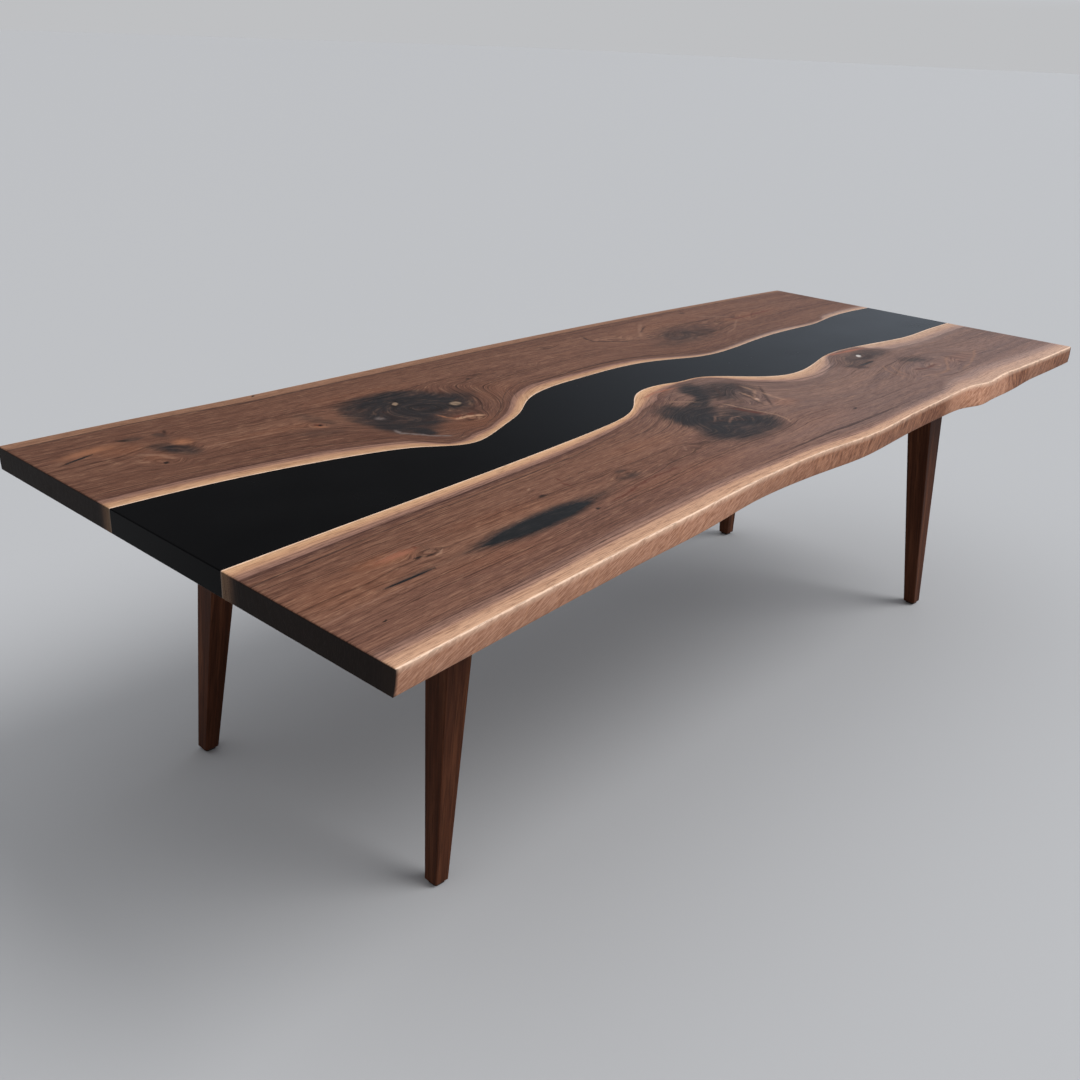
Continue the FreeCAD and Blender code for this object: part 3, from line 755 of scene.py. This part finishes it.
    # Fine figure over all of it: late wood lines, dark vessels and pale fibres.
    pale = f.math("MAXIMUM", f.rise(by_river, 1.15, 0.9), f.rise(by_live, 1.1, 0.9))
    lines = f.times(late, f.math("SUBTRACT", 0.82, f.times(pale, 0.48)))
    wood = f.mix(lines, wood, paint(124, 106, 100), "MULTIPLY")
    wood = f.mix(f.rise(fine, 0.52, 0.30, 0.56), wood, paint(136, 110, 98), "MULTIPLY")
    wood = f.mix(f.times(pale, f.rise(middle, 0.52, 0.30, 0.35)), wood, paint(196, 172, 156), "MULTIPLY")
    fibres = f.times(f.rise(fine, 0.52, 0.74, 0.34), f.math("SUBTRACT", 1.0, f.times(blot, 0.7)))
    wood = f.mix(fibres, wood, paint(190, 148, 118))

    # Small marks, on the top only, with shaky outlines.
    shaky = f.add("TexNoise", {"Vector": place, "Scale": 75.0, "Detail": 3.0}, output=1)
    shift = f.vector("MULTIPLY", f.vector("SUBTRACT", shaky, (0.5, 0.5, 0.5)), (0.010, 0.010, 0))
    flat = f.vector("MULTIPLY", f.vector("ADD", place, shift), (1, 1, 0))
    on_top = f.rise(f.split(place)[2], TOP - 0.003, TOP - 0.001)
    for colour, spots, strokes in MARKS[side]:
        marked = f.largest([f.spot(flat, *spot) for spot in spots] + [f.stroke(flat, *s) for s in strokes])
        wood = f.mix(f.times(marked, f.times(on_top, colour[3])), wood, colour)

    # The debarked edge is finely streaked, with darker flecked stretches. These are partly
    # its own tone and partly painted shade, such as the shadow under a bump.
    slant = [f.add("Mapping", {"Vector": place, "Rotation": (0, math.radians(degrees), 0)})
             for degrees in (24, 62)]
    streak = f.noise(slant[0], (46, 46, 430), detail=3, roughness=0.65)
    fleck = f.noise(slant[1], (70, 70, 460), detail=3, roughness=0.65)
    clots = f.noise(slant[1], (34, 34, 130), detail=3, roughness=0.7)
    edge = f.ramp(streak, (0.34, paint(142, 98, 76)), (0.50, paint(173, 126, 101)),
                  (0.66, paint(200, 153, 127)))
    shade = f.ramp(fleck, (0.34, paint(84, 52, 40)), (0.50, paint(128, 84, 63)),
                   (0.66, paint(160, 110, 83)))
    edge = f.mix(f.rise(edge_light, 0.85, 0.15), edge, shade)
    dark_clots = f.times(f.rise(clots, 0.48, 0.38, 0.7), f.rise(edge_light, 0.8, 0.35))
    edge = f.mix(dark_clots, edge, paint(88, 52, 38))
    edge = f.mix(f.rise(clots, 0.54, 0.66, 0.35), edge, paint(202, 148, 114))
    wood = f.mix(bark, wood, edge)

    # The sawn ends are dark, partly end grain that soaks up the oil and partly painted shade,
    # with open pores, and lighter in the sapwood.
    dust = f.noise(place, (200, 700, 700), detail=2)
    soaked_and_shaded = f.mix(f.plus(f.rise(by_river, 0.4, 1.5, 0.28), 0.70), wood, paint(18, 9, 5))
    wood = f.mix(sawn, wood, f.mix(f.rise(dust, 0.42, 0.62, 0.5), soaked_and_shaded, paint(24, 17, 14)))
    open_pores = f.times(f.rise(pores, 0.58, 0.68, 0.38), f.math("SUBTRACT", 1.0, bark))
    wood = f.mix(open_pores, wood, paint(44, 29, 24))

    height = f.plus(f.times(fine, 0.3), f.times(f.rise(pores, 0.68, 0.58), 0.5))
    height = f.plus(height, f.times(f.times(f.plus(streak, fleck), bark), 2.0))
    f.surface(wood, f.plus(f.times(middle, 0.16), 0.46), height, depth=0.0003, strength=0.5)
    f.shader.inputs["Specular IOR Level"].default_value = 0.08
    return f.material


def dress(piece, material):
    """Gives the piece this material and no other."""
    piece.data.materials.clear()
    piece.data.materials.append(material)


for side, slab in slabs.items():
    draw_figure(side, slab)
    dress(slab, walnut(side))
    alone(slab)
    bpy.ops.object.shade_smooth_by_angle(angle=SMOOTH_ANGLE)
    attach(slab, "root")
    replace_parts(slab, side + "_slab")

# ---- resin river ----------------------------------------------------------------
# Black epoxy poured between the slabs and planed and polished flush with them. It is
# opaque, and its satin polish mirrors the room softly.
RIVER_COLUMNS = 12           # divisions across the river
river = board("black_resin_river", RIVER_COLUMNS, lambda x, z: fitted(river_lines["front"], x),
              lambda x, z: fitted(river_lines["rear"], x), 0)
cut(river, *[channel_groove("stiffening_channel_" + p) for p in PLACES])
alone(river)
bpy.ops.object.shade_smooth_by_angle(angle=SMOOTH_ANGLE)

# Its face is faintly uneven, as a hand polished one is.
f = Finish("polished_black_resin")
place = f.add("TexCoord", {}, output=3)
haze = f.noise(place, scale=7, detail=4)
scratches = f.noise(place, scale=900, detail=1)
colour = f.ramp(haze, (0.3, paint(4, 4, 5)), (0.7, paint(7, 7, 8)))
height = f.plus(haze, f.times(scratches, 0.02))
f.surface(colour, f.plus(f.times(haze, 0.08), 0.22), height, depth=0.0004, strength=0.15)
f.shader.inputs["Specular IOR Level"].default_value = 0.025

dress(river, f.material)
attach(river, "root")
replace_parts(river, "resin_river")

# ---- resin in the cracks --------------------------------------------------------
# The bark cracks are filled with black resin, sanded flush with the wood. In the long one
# the resin runs out thin along its rim, where the brown wood shows through in streaks.
LONG_CRACK = (-804, -366, 150, 22, 5, 0.5)    # the spot within which its resin hides the wood


def crack_resin(name, thick=None):
    """Dusty black resin; outside the spot that thick gives, it lets the wood show through."""
    f = Finish(name)
    place = f.add("TexCoord", {}, output=3)
    dusty = f.noise(place, (30, 260, 30), detail=3, roughness=0.6)
    clouds = f.noise(place, scale=45, detail=2)
    colour = f.ramp(dusty, (0.34, paint(14, 15, 17)), (0.52, paint(22, 22, 24)), (0.68, paint(38, 34, 33)))
    if thick:
        torn = f.noise(place, (90, 160, 30), detail=3, roughness=0.7)
        flat = f.vector("MULTIPLY", place, (1, 1, 0))
        cover = f.plus(f.spot(flat, *thick), f.swing(torn, 1.0))
        colour = f.mix(f.rise(cover, 0.15, 0.75), paint(88, 62, 51), colour)
    f.surface(colour, f.plus(f.times(clouds, 0.15), 0.40), clouds, depth=0.0003, strength=0.3)
    f.shader.inputs["Specular IOR Level"].default_value = 0.1
    return f.material


deep_resin = crack_resin("crack_resin")
thin_resin = crack_resin("long_crack_resin", LONG_CRACK)
for name in sorted(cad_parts):
    if name.startswith("crack_fill"):
        dress(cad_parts[name], thin_resin if name == "crack_fill_long" else deep_resin)

# ---- legs -----------------------------------------------------------------------
# Four square legs of straight grained walnut, each tapered from 76 mm to 33 mm and
# raked out to its corner, with small arrises and a chamfered foot.
LEG_RISE = 0.7
SPLAY_ALONG, SPLAY_ACROSS = 0.068, 0.032      # how far out a leg's axis runs over that rise
RAKE_ALONG, RAKE_ACROSS = math.atan(SPLAY_ALONG / LEG_RISE), math.atan(SPLAY_ACROSS / LEG_RISE)


def leg_walnut(corner):
    """Oiled walnut with its grain up the leg."""
    f = Finish("leg_walnut_" + corner)
    lean_x = RAKE_ALONG if corner.endswith("left") else -RAKE_ALONG
    lean_y = RAKE_ACROSS if corner.startswith("front") else -RAKE_ACROSS
    place = f.add("Mapping", {"Vector": f.add("TexCoord", {}, output=3), "Rotation": (lean_y, -lean_x, 0)})
    wander = f.noise(place, (9, 9, 2.5), detail=1)
    sideways = f.vector("MULTIPLY", f.add("CombineXYZ", {0: wander, 1: wander}), (0.008, 0.008, 0))
    flow = f.vector("ADD", place, sideways)
    broad = f.noise(flow, (60, 60, 1.2), detail=3, roughness=0.6)
    fine = f.noise(flow, (300, 300, 7), detail=3, roughness=0.65)
    pores = f.noise(flow, (1100, 1100, 50), detail=1)
    colour = f.ramp(broad, (0.30, paint(62, 34, 22)), (0.48, paint(80, 46, 31)), (0.60, paint(94, 56, 38)),
                    (0.72, paint(112, 70, 48)))
    colour = f.mix(f.rise(fine, 0.56, 0.34, 0.6), colour, paint(50, 27, 18))
    colour = f.mix(f.times(f.rise(pores, 0.60, 0.74), 0.35), colour, paint(36, 22, 18))
    height = f.plus(f.times(fine, 0.4), f.times(f.rise(pores, 0.72, 0.58), 0.6))
    f.surface(colour, f.plus(f.times(broad, 0.15), 0.36), height, depth=0.0003, strength=0.5)
    f.shader.inputs["Specular IOR Level"].default_value = 0.05
    return f.material


for corner in CORNERS:
    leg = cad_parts["leg_" + corner]
    dress(leg, leg_walnut(corner))

# ---- leg plates and channels ----------------------------------------------------
# Plates with a welded tang hold the legs; three channels keep the top flat. Both are
# mild steel, powder coated black with a fine orange peel.
f = Finish("black_powder_coat")
place = f.add("TexCoord", {}, output=3)
peel = f.noise(place, scale=650, detail=2)
rub = f.noise(place, scale=24, detail=3)
colour = f.ramp(rub, (0.35, paint(26, 26, 28)), (0.7, paint(40, 40, 42)))
f.surface(colour, f.plus(f.times(rub, 0.2), 0.45), peel, depth=0.0003, strength=0.5)
for name in ["leg_plate_" + c for c in CORNERS] + ["stiffening_channel_" + p for p in PLACES]:
    dress(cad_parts[name], f.material)

# ---- bolts ----------------------------------------------------------------------
# Zinc plated M8 hexagon bolts with washers: four through each leg plate and four
# through each channel's slots, all driven up into threaded inserts.
HEAD_ACROSS, HEAD_HEIGHT = 0.013, 0.0053
HEAD_STEPS = ((0.0011, 0.0006), (0.0012, 0.0), (0.0003, -0.0005))    # chamfer, flat and dished middle
WASHER_ACROSS, WASHER_THICK = 0.016, 0.0016
WASHER_STEPS = ((0.0004, 0.0002),)            # its rounded rim
PLATE_BOLT_INSETS = (0.013, 0.015)            # from a plate's edges, along and across the table
CHANNEL_BOLTS = (-0.390, -0.225, 0.225, 0.390)

f = Finish("bright_zinc")
place = f.add("TexCoord", {}, output=3)
spangle = f.noise(place, scale=420, detail=3)
colour = f.ramp(spangle, (0.35, paint(168, 170, 172)), (0.65, paint(206, 206, 202)))
f.surface(colour, f.plus(f.times(spangle, 0.2), 0.24), spangle, depth=0.0001, strength=0.4)
f.shader.inputs["Metallic"].default_value = 1.0
zinc = f.material


def turned(sides, radius, thick, x, y, under, steps):
    """A disc or prism hanging from level under, its lower face shaped by inset steps."""
    bpy.ops.object.select_all(action="DESELECT")
    bpy.ops.mesh.primitive_cylinder_add(vertices=sides, radius=radius, depth=thick,
                                        location=(x, y, under - thick / 2))
    part = bpy.context.object
    pick(part, "faces", lambda face: face.normal.z < -0.9)
    for thickness, depth in steps:
        bpy.ops.mesh.inset(thickness=thickness, depth=depth)
    bpy.ops.object.mode_set(mode="OBJECT")
    return part


def bolt_set(name, places):
    """The heads and washers of all the bolts of one kind, under the top, as one piece."""
    parts = []
    for x, y in places:
        parts.append(turned(32, WASHER_ACROSS / 2, WASHER_THICK, x, y, UNDERSIDE, WASHER_STEPS))
        parts.append(turned(6, HEAD_ACROSS / math.sqrt(3), HEAD_HEIGHT, x, y, UNDERSIDE - WASHER_THICK,
                            HEAD_STEPS))
    bpy.ops.object.select_all(action="DESELECT")
    for part in parts:
        part.select_set(True)
    bpy.context.view_layer.objects.active = parts[0]
    bpy.ops.object.join()
    piece = bpy.context.object
    piece.name = name
    bpy.ops.object.transform_apply(location=True, rotation=True, scale=True)
    dress(piece, zinc)
    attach(piece, "root")
    return piece


plate_places = []
for corner in CORNERS:
    low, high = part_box("leg_plate_" + corner)
    xs, ys = [(low[i] + PLATE_BOLT_INSETS[i], high[i] - PLATE_BOLT_INSETS[i]) for i in (0, 1)]
    plate_places += [(x, y) for x in xs for y in ys]
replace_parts(bolt_set("plate_bolts_and_washers", plate_places), "leg_plate_bolts")
channel_places = []
for place_name in PLACES:
    low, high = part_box("stiffening_channel_" + place_name)
    x, y = (low[0] + high[0]) / 2, (low[1] + high[1]) / 2
    channel_places += [(x, y + offset) for offset in CHANNEL_BOLTS]
bolt_set("channel_bolts_and_washers", channel_places)

# ---- felt pads ------------------------------------------------------------------
# A stiff pad of dark brown needled felt is glued under each foot.
f = Finish("brown_felt")
place = f.add("TexCoord", {}, output=3)
fluff = f.noise(place, scale=1500, detail=4, roughness=0.7)
colour = f.ramp(fluff, (0.35, paint(34, 28, 25)), (0.65, paint(66, 56, 50)))
f.surface(colour, 0.95, fluff, depth=0.001, strength=0.8)
for corner in CORNERS:
    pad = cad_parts["foot_pad_" + corner]
    dress(pad, f.material)
